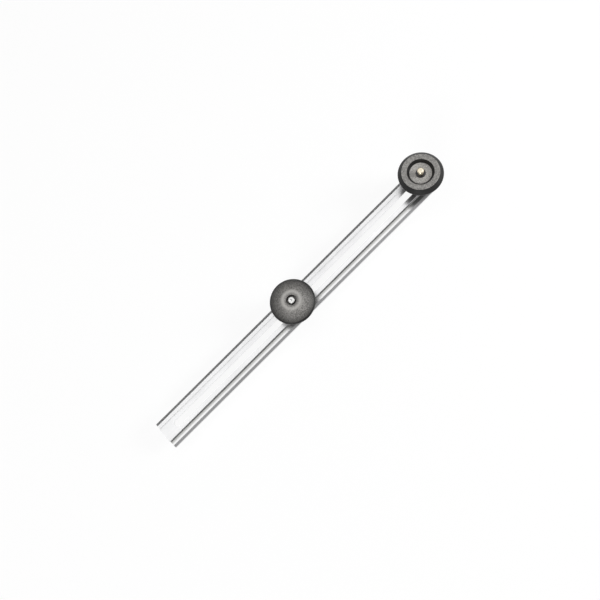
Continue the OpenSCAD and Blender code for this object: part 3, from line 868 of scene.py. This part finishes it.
# %% Turn the clamp knob
HUB_R, FLARE_R, RIM_R, HUB_ROUND = 9.0, 8.0, 1.2, 0.6
CLAMP_R, CLAMP_H, DOME_R, RIM_TOP_R = 20.49, 21.1, 36.0, 2.5
CREST_R, CREST_ROUND, CREST_REACH = 7.8, 4.0, 1.2
MOUTH_DROP, MOUTH_ROUND, EYE_R, EYE_DEPTH = 0.9, 0.3, 4.5, 4.0
STUD_HOLE_R, INSERT_R, INSERT_LEN = 3.2, 5.03, 11.0
KNOB_SEGMENTS = 160


def knob_neck(knob_r, rim_z):
    """From the hub's lower edge up the flared neck and round the rim's lower edge."""
    under = rim_z - RIM_R
    return (arc((HUB_R - HUB_ROUND, HUB_ROUND), HUB_ROUND, -90, 0, 5)
            + arc((HUB_R + FLARE_R, under - FLARE_R), FLARE_R, 180, 90, 20)
            + arc((knob_r - RIM_R, rim_z), RIM_R, -90, 0, 8))


def domed_outline():
    """Neck, rim, dome and crest, then down the counterbore and the insert's seat."""
    dome_z = CLAMP_H - math.sqrt(DOME_R ** 2 - CREST_R ** 2)
    rim_x = CLAMP_R - RIM_TOP_R
    rim_z = dome_z + math.sqrt((DOME_R - RIM_TOP_R) ** 2 - rim_x ** 2)
    meet = math.degrees(math.atan2(rim_z - dome_z, rim_x))
    inner = math.degrees(math.acos((CREST_R + CREST_REACH) / DOME_R))
    swept = ([(INSERT_R, 0.0)] + knob_neck(CLAMP_R, rim_z)
             + arc((rim_x, rim_z), RIM_TOP_R, 0, meet, 12)[1:]
             + arc((0, dome_z), DOME_R, meet, inner, 24)[1:])
    eye_z = CLAMP_H - EYE_DEPTH
    return broken_corners([(x, z, 0) for x, z in swept] + [
        (CREST_R, CLAMP_H, CREST_ROUND), (EYE_R, CLAMP_H - MOUTH_DROP, MOUTH_ROUND), (EYE_R, eye_z, 0),
        (STUD_HOLE_R, eye_z, 0), (STUD_HOLE_R, INSERT_LEN, 0), (INSERT_R, INSERT_LEN, 0)], steps=6)


clamp_knob = turned_piece("domed_clamp_knob", domed_outline(), (pivot_x, 0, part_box("clamp_knob")[0].z),
                          finish_of("clamp_knob"), segments=KNOB_SEGMENTS)
stands_for(clamp_knob, "clamp_knob")

# %% [markdown]
# ## Hand knob
# The knob at the far end has the same neck, a tapered side and a flat top with a conical dish. Its hub is
# hollow below, because the nut that holds the cutter's post sits in there. The dish could be cut from a
# disc, but in a turned outline it is only two more corners.

# %% Turn the hand knob
HAND_R, HAND_H, HAND_RIM_Z, HAND_BAND = 20.25, 21.0, 16.1, 1.0
TOP_R, TOP_ROUND, BAND_ROUND, EYE_ROUND = 16.5, 0.5, 1.0, 0.3
DISH_MOUTH_R, DISH_FLOOR_R, DISH_DEPTH, DISH_ROUND = 12.1, 10.0, 3.1, 0.35
HAND_EYE_R, BUSH_R, POCKET_R = 4.3, 5.03, 7.0


def dished_outline():
    """Neck, band, tapered side, flat top, dish, hole for the spindle, bush seat and nut pocket."""
    base, floor_z = heights("hand_knob")[0], HAND_H - DISH_DEPTH
    pocket_z, seat_z = (height - base for height in heights("hand_knob_bush"))
    swept = [(POCKET_R, 0.0)] + knob_neck(HAND_R, HAND_RIM_Z)
    return broken_corners([(x, z, 0) for x, z in swept] + [
        (HAND_R, HAND_RIM_Z + HAND_BAND, BAND_ROUND), (TOP_R + TOP_ROUND, HAND_H, TOP_ROUND),
        (DISH_MOUTH_R, HAND_H, DISH_ROUND), (DISH_FLOOR_R, floor_z, DISH_ROUND),
        (HAND_EYE_R, floor_z, EYE_ROUND), (HAND_EYE_R, seat_z, 0), (BUSH_R, seat_z, 0),
        (BUSH_R, pocket_z, 0), (POCKET_R, pocket_z, 0)], steps=6)


hand_knob = turned_piece("dished_hand_knob", dished_outline(), (cutter_x, 0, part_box("hand_knob")[0].z),
                         finish_of("hand_knob"), segments=KNOB_SEGMENTS)
stands_for(hand_knob, "hand_knob")

# %% [markdown]
# ## Threaded stud
# The clamp stud is a rod with a metric thread. A screw modifier could sweep the thread, but it repeats by a
# rule, so Geometry Nodes make it: a flat grid is wrapped into a tube, and each point's radius follows a
# helix of the given pitch. The tube narrows at its ends. First come the helpers that start, end and run a
# geometry group.

# %% Start, end and run a geometry group
def geometry_group(name, **defaults):
    """A geometry group with a mesh in and out, numbers and a material; returns its tree and both ends."""
    tree = bpy.data.node_groups.new(name, "GeometryNodeTree")
    tree.interface.new_socket("Geometry", in_out="OUTPUT", socket_type="NodeSocketGeometry")
    tree.interface.new_socket("Geometry", in_out="INPUT", socket_type="NodeSocketGeometry")
    add_inputs(tree, defaults)
    tree.interface.new_socket("Material", in_out="INPUT", socket_type="NodeSocketMaterial")
    return tree, *group_ends(tree)


def close_group(tree, given, out, shape):
    """Ends a geometry group: instances made real, then the material set."""
    real = node(tree, "GeometryNodeRealizeInstances", Geometry=shape).outputs["Geometry"]
    painted = node(tree, "GeometryNodeSetMaterial", Geometry=real, Material=given["Material"])
    feed(tree, out["Geometry"], painted.outputs["Geometry"])


def grow(holder, group, values, offset):
    """Runs a geometry group on a piece with its values and keeps the result as a plain mesh."""
    material = holder.data.materials[0]
    grower = holder.modifiers.new(group.name, "NODES")
    grower.node_group = group
    sockets = {item.name: item.identifier for item in group.interface.items_tree if item.in_out == "INPUT"}
    for key, value in {**values, "Material": material}.items():
        grower[sockets[key]] = value
    settle(holder)
    bm = bmesh.new()
    bm.from_mesh(holder.data)
    bmesh.ops.dissolve_degenerate(bm, edges=bm.edges, dist=SLIVER)
    bmesh.ops.translate(bm, verts=bm.verts, vec=offset)
    bmesh.ops.recalc_face_normals(bm, faces=bm.faces)
    bm.to_mesh(holder.data)
    bm.free()
    smooth_piece(holder)


print("geometry helpers:", [helper.__name__ for helper in (geometry_group, close_group, grow)])

# %% Cut the stud's thread
CENTRE_R, CROSS_HOLE_R = 0.9, 0.79
THREAD_WELD = 1e-6


def threaded_rod_group():
    """A rod along Z from 0 to Length with a helical thread and chamfered, closed ends."""
    tree, given, out = geometry_group("threaded_rod", Radius=0.003, Length=0.03, Pitch=0.001, Depth=0.0005,
                                      Chamfer=0.0006, Round=65, Rows=260)
    grid = node(tree, "GeometryNodeMeshGrid", Size_X=1.0, Size_Y=1.0, Vertices_X=given["Round"],
                Vertices_Y=given["Rows"])
    flat = parts_of(tree, node(tree, "GeometryNodeInputPosition").outputs[0])
    share, along = (math_node(tree, "ADD", flat[side], 0.5) for side in ("X", "Y"))
    height = math_node(tree, "MULTIPLY", along, given["Length"])
    turns = math_node(tree, "SUBTRACT", math_node(tree, "DIVIDE", height, given["Pitch"]), share)
    flank = math_node(tree, "MULTIPLY", math_node(tree, "PINGPONG", turns, 0.5), 2.0)
    thread = math_node(tree, "SUBTRACT", given["Radius"], math_node(tree, "MULTIPLY", flank, given["Depth"]))
    to_end = math_node(tree, "MINIMUM", height, math_node(tree, "SUBTRACT", given["Length"], height))
    cone = math_node(tree, "ADD", math_node(tree, "SUBTRACT", given["Radius"], given["Chamfer"]), to_end)
    row = math_node(tree, "DIVIDE", given["Length"], given["Rows"])
    inside = math_node(tree, "GREATER_THAN", to_end, math_node(tree, "MULTIPLY", row, 0.5))
    reach = math_node(tree, "MULTIPLY", math_node(tree, "MINIMUM", thread, cone), inside)
    angle = math_node(tree, "MULTIPLY", share, 2 * math.pi)
    x, y = (math_node(tree, "MULTIPLY", math_node(tree, wave, angle), reach) for wave in ("COSINE", "SINE"))
    spot = node(tree, "ShaderNodeCombineXYZ", X=x, Y=y, Z=height).outputs[0]
    wrap = node(tree, "GeometryNodeSetPosition", Geometry=grid.outputs["Mesh"], Position=spot)
    weld = node(tree, "GeometryNodeMergeByDistance", Geometry=wrap.outputs["Geometry"], Distance=THREAD_WELD)
    close_group(tree, given, out, weld.outputs["Geometry"])
    return tree


stud = mesh_object("threaded_clamp_stud", bmesh.new(), finish_of("clamp_stud"))
stud_size = {"Radius": (stud_high.x - stud_low.x) / 2, "Length": stud_high.z - stud_low.z}
grow(stud, threaded_rod_group(), stud_size, (pivot_x, 0, stud_low.z))
drill_point = [(0, -CENTRE_R), (CENTRE_R + OVERCUT, OVERCUT), (0, OVERCUT)]
centre_drill = turned_piece("centre_drill", drill_point, (pivot_x, 0, stud_high.z), finish_of("clamp_stud"),
                            segments=48)
combine(stud, centre_drill)
cross_z = (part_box("stud_cross_pin")[0].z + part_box("stud_cross_pin")[1].z) / 2
bore(stud, CROSS_HOLE_R, (pivot_x, 0, cross_z), ACROSS_RAIL)
smooth_piece(stud)
stands_for(stud, "clamp_stud")

# %% [markdown]
# ## Cutter post
# The brass post is a spindle above the rail and a fork below it that holds the wheel. A mill would cut the
# fork from a block and a lathe would turn the spindle, so the fork is a prism with a slot and a hole cut
# out, the spindle is a turned outline with its clip groove, and the two are joined.

# %% Mill the fork
FORK_LEN, FORK_W, FORK_DROP, FORK_SLOT_W, WHEEL_GAP = 10.4, 9.7, 3.6, 2.8, 0.3
PIN_R, SEAT_GAP, FILED_EDGE = 1.5, 0.03, 0.25
web_z = rail_top / MM - WEB_T


def fork_outline():
    """The fork seen along the rail, from the wheel's axis: a round lower end cut flat, and upright sides."""
    side = math.degrees(math.asin(FORK_DROP / (FORK_W / 2)))
    top = web_z - WHEEL_R
    return (arc((0, 0), FORK_W / 2, -side, 0, 10) + [(FORK_W / 2, top), (-FORK_W / 2, top)]
            + arc((0, 0), FORK_W / 2, 180, 180 + side, 10))


def centred_box(length, width):
    """The outline of a rectangle about the origin."""
    half, side = length / 2, width / 2
    return [(-half, -side), (half, -side), (half, side), (-half, side)]


brass = finish_of("cutter_post")
fork_start = (cutter_x - FORK_LEN / 2 * MM, 0, wheel_centre[2])
post = prism("milled_cutter_post", fork_outline(), fork_start, FORK_LEN, brass, SECTION)
gap = centred_box(FORK_SLOT_W, 2 * FORK_W)
combine(post, prism("fork_gap", gap, (cutter_x, 0, 0), 2 * WHEEL_R + WHEEL_GAP, brass))
bore(post, PIN_R + SEAT_GAP, wheel_centre, ALONG_RAIL)
break_edges(post, FILED_EDGE)
print("fork of", len(post.data.polygons), "faces")

# %% Turn the spindle and join it to the fork
THREAD_R, GROOVE_DEPTH, OVERLAP = 3.0, 0.5, 1.0
END_CHAMFER, CHAMFER_ROUND = 0.6, 0.35


def groove(shaft_r, clip):
    """Corners of a shaft's groove round a clip, from its lower to its upper edge."""
    low, high = heights(clip)
    neck = shaft_r - GROOVE_DEPTH
    return [(shaft_r, low - SEAT_GAP, 0), (neck, low - SEAT_GAP, 0),
            (neck, high + SEAT_GAP, 0), (shaft_r, high + SEAT_GAP, 0)]


def spindle_outline():
    """The spindle from inside the fork up to its chamfered end, with the groove of the retaining clip."""
    start, top = web_z - OVERLAP, post_high.z / MM
    return broken_corners([
        (0, start, 0), (THREAD_R, start, 0), *groove(THREAD_R, "retaining_clip"),
        (THREAD_R, top - END_CHAMFER, CHAMFER_ROUND), (THREAD_R - END_CHAMFER, top, CHAMFER_ROUND),
        (0, top, 0)])


combine(post, turned_piece("spindle", spindle_outline(), (cutter_x, 0, 0), brass, segments=96), "UNION")
smooth_piece(post)
stands_for(post, "cutter_post")

# %% [markdown]
# ## Wheel and pin
# The scoring wheel is a hardened disc with a ground bevel on each side and a narrow flat left on its edge.
# It could be a cylinder with its edge bevelled, but the bevels are long and shallow, so they are corners of
# an outline. Wheel and pin turn about an axis along the rail, so the same sweep is used with its axis laid
# down.

# %% Turn the wheel and its pin
WHEEL_T, WHEEL_BORE_R, BEVEL_W, EDGE_FLAT, KEEN_ROUND = 2.2, 2.58, 1.6, 0.2, 0.08
CLIP_T, PIN_CHAMFER = 0.7, 0.3


def wheel_outline():
    """Bore, flank, bevel and edge, on both sides of the wheel's middle."""
    flank, edge, shoulder = WHEEL_T / 2, EDGE_FLAT / 2, WHEEL_R - BEVEL_W
    side = [(WHEEL_R, edge), (shoulder, flank), (WHEEL_BORE_R, flank)]
    mirrored = [(r, -x) for r, x in reversed(side)]
    return broken_corners([(r, x, KEEN_ROUND) for r, x in mirrored + side])


def pin_outline():
    """The axle with a clip groove and a chamfer at each end."""
    half = (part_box("wheel_pin")[1].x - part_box("wheel_pin")[0].x) / 2 / MM
    inner, outer = FORK_LEN / 2, FORK_LEN / 2 + SEAT_GAP + CLIP_T + SEAT_GAP
    neck = PIN_R - GROOVE_DEPTH
    side = [(PIN_R, inner), (neck, inner), (neck, outer), (PIN_R, outer), (PIN_R, half - PIN_CHAMFER),
            (PIN_R - PIN_CHAMFER, half), (0, half)]
    return [(r, -x) for r, x in reversed(side)] + side


for name, part, outline, segments in (("ground_cutter_wheel", "cutter_wheel", wheel_outline(), 128),
                                      ("turned_wheel_pin", "wheel_pin", pin_outline(), 64)):
    stands_for(turned_piece(name, outline, wheel_centre, finish_of(part), ALONG_RAIL, segments), part)

# %% [markdown]
# ## Rings
# Washers and bushes are plain rings, and only their edges tell a stamped washer from a turned bush. Each
# could have its own cell, but one loop makes them all from the boxes of their solids and a table of bores
# and edges.

# %% Make the washers and bushes
RUN_GAP = 0.05
RING_BORE_AND_EDGE = {"clamp_washer": (3.2, 0.25), "post_washer": (3.2, 0.2), "thrust_washer": (3.2, 0.1),
                      "hand_knob_bush": (THREAD_R + RUN_GAP, 0.2), "foot_bush": (4.25, 0.2)}

for part, (bore_r, edge) in RING_BORE_AND_EDGE.items():
    low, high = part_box(part)
    outer, height = (high.x - low.x) / 2 / MM, (high.z - low.z) / MM
    outline = broken_corners([(bore_r, 0, edge), (outer, 0, edge),
                              (outer, height, edge), (bore_r, height, edge)])
    ring = turned_piece("ring_" + part, outline, ((low.x + high.x) / 2, 0, low.z), finish_of(part))
    stands_for(ring, part)

# %% [markdown]
# ## Clips
# A snap clip is punched from strip as an open ring that springs into a groove. A bent wire would be round
# in section, so the clip is a flat outline instead, raised to its thickness, with the burr taken off its
# edges.

# %% Punch the clips
CLIP_REACH, CLIP_MOUTH, CLIP_BURR = 0.9, 0.8, 0.1
JOURNAL_R = 4.2


def clip_outline(shaft_r):
    """An open ring that grips a groove; its mouth looks along the first axis."""
    inner, outer = shaft_r - GROOVE_DEPTH + SEAT_GAP, shaft_r + CLIP_REACH
    half = CLIP_MOUTH * inner
    out_angle, in_angle = math.degrees(math.asin(half / outer)), math.degrees(math.asin(half / inner))
    return (arc((0, 0), outer, out_angle, 360 - out_angle, 60)
            + arc((0, 0), inner, 360 - in_angle, in_angle, 40))


def punched_clip(name, part, shaft_r, base, axis=UPRIGHT):
    """A clip on a shaft, filed but not yet standing for its solid."""
    clip = prism(name, clip_outline(shaft_r), base, CLIP_T, finish_of(part), axis)
    break_edges(clip, CLIP_BURR)
    return clip


for name, part, shaft_r, shaft_x in (("clip_on_spindle", "retaining_clip", THREAD_R, cutter_x),
                                     ("clip_on_journal", "foot_clip", JOURNAL_R, pivot_x)):
    stands_for(punched_clip(name, part, shaft_r, (shaft_x, 0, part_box(part)[0].z)), part)
clips_low, clips_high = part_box("wheel_pin_clips")
pin_clips, far_clip = (
    punched_clip(name, "wheel_pin_clips", PIN_R, (clip_x, 0, wheel_centre[2]), ALONG_RAIL)
    for name, clip_x in (("clips_on_wheel_pin", clips_low.x), ("far_clip", clips_high.x - CLIP_T * MM)))
combine(pin_clips, far_clip, "UNION")
smooth_piece(pin_clips)
stands_for(pin_clips, "wheel_pin_clips")

# %% [markdown]
# ## Slide block
# Under the rail a steel block runs in the channel. It holds the stud from above and the needle from below,
# and its round journal is the bearing of the foot. One turned outline can't give a square block, so block
# and journal are joined and then drilled, in the order of a workshop.

# %% Join and drill the slide block
BLOCK_LEN, BLOCK_W, BLOCK_FILED = 17.0, 9.7, 0.3
PEG_R, PEG_LEN = 1.0, 3.0
NEEDLE_R, STUD_DEPTH = 1.2, 2.4
block_z, block_top = heights("glide_shoes")
block_base = (pivot_x, 0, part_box("glide_shoes")[0].z)


def journal_outline():
    """The journal up into the block, with the needle's hole and the groove of the foot's clip."""
    start, top = heights("slide_block")[0], block_z + OVERLAP
    hole_r, hole_top = NEEDLE_R + SEAT_GAP, heights("centre_needle")[1] + SEAT_GAP
    return broken_corners([
        (0, hole_top, 0), (hole_r, hole_top, 0), (hole_r, start, 0), (JOURNAL_R, start, CHAMFER_ROUND),
        *groove(JOURNAL_R, "foot_clip"), (JOURNAL_R, top, 0), (0, top, 0)])


def slide_block():
    """The block with its journal, the stud's hole, the cross pin's hole and the peg holes."""
    steel = finish_of("slide_block")
    block = prism("drilled_slide_block", centred_box(BLOCK_LEN, BLOCK_W), block_base, block_top - block_z,
                  steel)
    break_edges(block, BLOCK_FILED)
    combine(block, turned_piece("journal", journal_outline(), (pivot_x, 0, 0), steel, segments=96), "UNION")
    bore(block, THREAD_R + SEAT_GAP, (pivot_x, 0, 0), start=block_z - STUD_DEPTH - SEAT_GAP)
    bore(block, CROSS_HOLE_R, (pivot_x, 0, cross_z), ACROSS_RAIL)
    peg_end = BLOCK_LEN / 2 - PEG_LEN - 2 * SEAT_GAP
    for start, end in ((-DRILL_REACH, -peg_end), (peg_end, DRILL_REACH)):
        bore(block, PEG_R + SEAT_GAP, (pivot_x, 0, cross_z), ALONG_RAIL, start, end)
    smooth_piece(block)
    return block


stands_for(slide_block(), "slide_block")

# %% [markdown]
# ## Glide shoes
# The shoes at the ends of the block are acetal, so that steel doesn't rub on aluminium. Each is a small
# prism with round outer corners and a peg that sits in the block. They are one node, so the two are joined
# into one mesh.

# %% Mould the glide shoes
SHOE_LEN, SHOE_CORNER, SHOE_ROUND = 4.0, 1.0, 0.3


def glide_shoe(name, way):
    """One shoe with rounded outer corners and its peg; its way along the rail is 1 or -1."""
    acetal = finish_of("glide_shoes")
    inner, outer, side = BLOCK_LEN / 2, BLOCK_LEN / 2 + SHOE_LEN, BLOCK_W / 2
    outline = broken_corners([(way * inner, -side, 0), (way * outer, -side, SHOE_CORNER),
                              (way * outer, side, SHOE_CORNER), (way * inner, side, 0)], steps=6)
    shoe = prism(name, outline, block_base, block_top - block_z, acetal)
    break_edges(shoe, SHOE_ROUND)
    start, end = sorted((way * (inner - PEG_LEN), way * (inner + OVERLAP)))
    peg = [(0, start), (PEG_R, start), (PEG_R, end), (0, end)]
    combine(shoe, turned_piece("peg", peg, (pivot_x, 0, cross_z), acetal, ALONG_RAIL, 48), "UNION")
    return shoe


shoes = glide_shoe("acetal_glide_shoes", 1)
combine(shoes, glide_shoe("other_shoe", -1), "UNION")
smooth_piece(shoes)
stands_for(shoes, "glide_shoes")

# %% [markdown]
# ## Foot
# The foot that the tool turns about is moulded like the knobs, so its corners are round and its flange runs
# into the hub in a fillet. A bevel would round every edge alike, and here each has its own radius, so it is
# an outline again.

# %% Mould the foot
FOOT_R, FOOT_T, FOOT_ROUND, FOOT_FILLET = 9.5, 3.0, 1.0, 1.2
FOOT_HUB_R, FOOT_BORE_R, FOOT_RECESS_R, HUB_EDGE = 7.05, 5.28, 5.4, 0.5
PAD_EDGE = 0.3


def foot_outline():
    """Recess for the clip, flange, fillet, hub and the bush's seat."""
    low, high = heights("pivot_foot")
    seat = heights("foot_bush")[0]
    return broken_corners([
        (FOOT_RECESS_R, low, 0), (FOOT_R, low, PAD_EDGE), (FOOT_R, low + FOOT_T, FOOT_ROUND),
        (FOOT_HUB_R, low + FOOT_T, FOOT_FILLET), (FOOT_HUB_R, high, HUB_EDGE), (FOOT_BORE_R, high, 0),
        (FOOT_BORE_R, seat, 0), (FOOT_RECESS_R, seat, 0)], steps=6)


foot = turned_piece("moulded_pivot_foot", foot_outline(), (pivot_x, 0, 0), finish_of("pivot_foot"))
stands_for(foot, "pivot_foot")

# %% [markdown]
# ## Pad
# The pad under the foot is rubber with radial grooves that let it grip. A bump could draw them, but they
# show at the pad's edge. Grooves that repeat round a ring are a rule, so Geometry Nodes set one cutter bar
# on each point of a circle and cut them all from the ring at once.

# %% Groove the pad
PAD_IN_R, PAD_GROOVES, PAD_SEGMENTS = 6.9, 30, 120


def grooved_ring_group():
    """Cuts radial grooves from the underside of a ring that lies on the floor about the origin."""
    tree, given, out = geometry_group("grooved_ring", Grooves=PAD_GROOVES, Radius=0.0082, Length=0.004,
                                      Width=0.0006, Depth=0.0005)
    circle = node(tree, "GeometryNodeMeshCircle", Vertices=given["Grooves"], Radius=given["Radius"])
    size = node(tree, "ShaderNodeCombineXYZ", X=given["Length"], Y=given["Width"],
                Z=math_node(tree, "MULTIPLY", given["Depth"], 2.0))
    bar = node(tree, "GeometryNodeMeshCube", Size=size.outputs[0])
    turn = node(tree, "FunctionNodeAlignEulerToVector",
                Vector=node(tree, "GeometryNodeInputPosition").outputs[0])
    bars = node(tree, "GeometryNodeInstanceOnPoints", Points=circle.outputs["Mesh"],
                Instance=bar.outputs["Mesh"], Rotation=turn.outputs["Rotation"])
    real = node(tree, "GeometryNodeRealizeInstances", Geometry=bars.outputs["Instances"])
    cut = node(tree, "GeometryNodeMeshBoolean", settings={"operation": "DIFFERENCE"},
               Mesh_1=given["Geometry"], Mesh_2=real.outputs["Geometry"])
    close_group(tree, given, out, cut.outputs["Mesh"])
    return tree


pad_top = heights("foot_pad")[1]
pad_ring = broken_corners([(PAD_IN_R, 0, PAD_EDGE), (FOOT_R, 0, PAD_EDGE), (FOOT_R, pad_top, 0),
                           (PAD_IN_R, pad_top, 0)])
pad = turned_piece("grooved_foot_pad", pad_ring, (0, 0, 0), finish_of("foot_pad"), segments=PAD_SEGMENTS)
grow(pad, grooved_ring_group(), {"Grooves": PAD_GROOVES}, (pivot_x, 0, 0))
stands_for(pad, "foot_pad")

# %% [markdown]
# ## Needle
# The needle marks the circle's centre and stops just short of the pad's face. It could be a cone set on a
# cylinder, but one turned outline leaves no seam between point and shank.

# %% Grind the needle
POINT_LEN = 3.2

tip, shank_top = heights("centre_needle")
point = [(0, tip), (NEEDLE_R, tip + POINT_LEN), (NEEDLE_R, shank_top), (0, shank_top)]
needle = turned_piece("ground_centre_needle", point, (pivot_x, 0, 0), finish_of("centre_needle"), segments=64)
stands_for(needle, "centre_needle")
